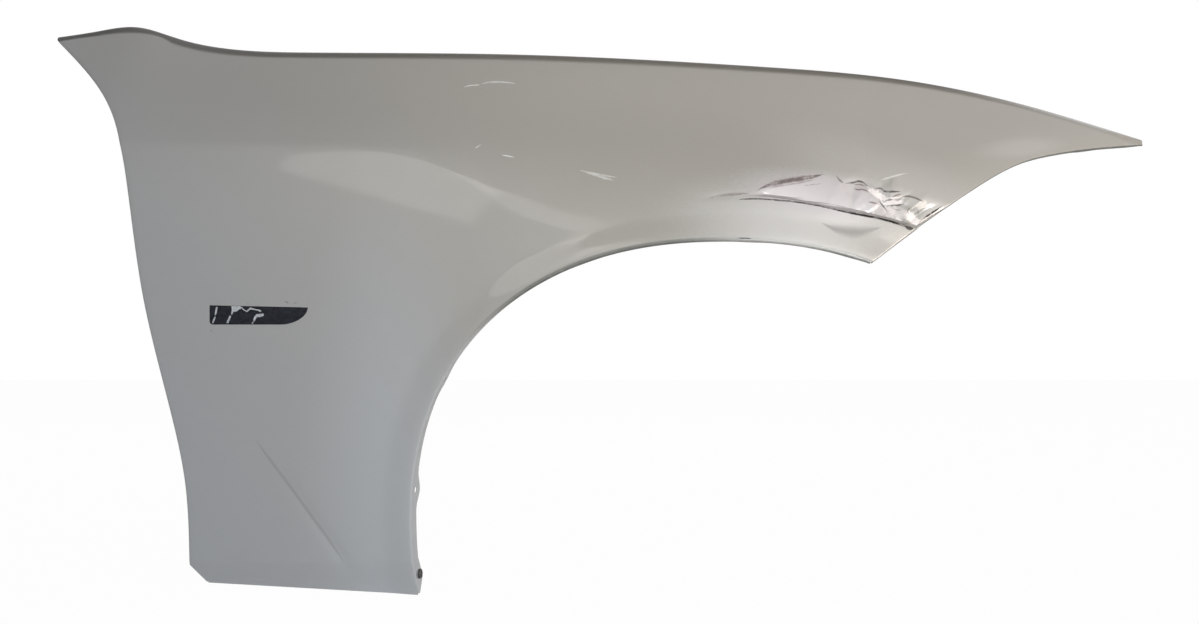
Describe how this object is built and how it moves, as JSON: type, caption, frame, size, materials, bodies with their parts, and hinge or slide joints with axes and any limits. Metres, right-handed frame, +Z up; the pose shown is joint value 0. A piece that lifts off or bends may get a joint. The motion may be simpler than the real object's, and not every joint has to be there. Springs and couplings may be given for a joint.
{
  "type": "car fender",
  "caption": "Front right car fender of pressed steel with folded flanges, a dark side insert and crash damage above the wheel arch.",
  "frame": {"origin": "on the upper face of the bonnet flange's middle screw pad, 12.5 mm ahead of its hole", "axes": "+X towards the front of the car, +Y inboard, +Z up; the painted outer face looks along -Y"},
  "size_m": [1.3495, 0.226, 0.6789],
  "materials": {
    "paint": "gloss",
    "insert": "satin",
    "clip": "matte"
  },
  "bodies": {
    "root": {"fender_panel": "paint", "side_insert": "insert", "liner_clip": "clip"}
  },
  "joints": []
}
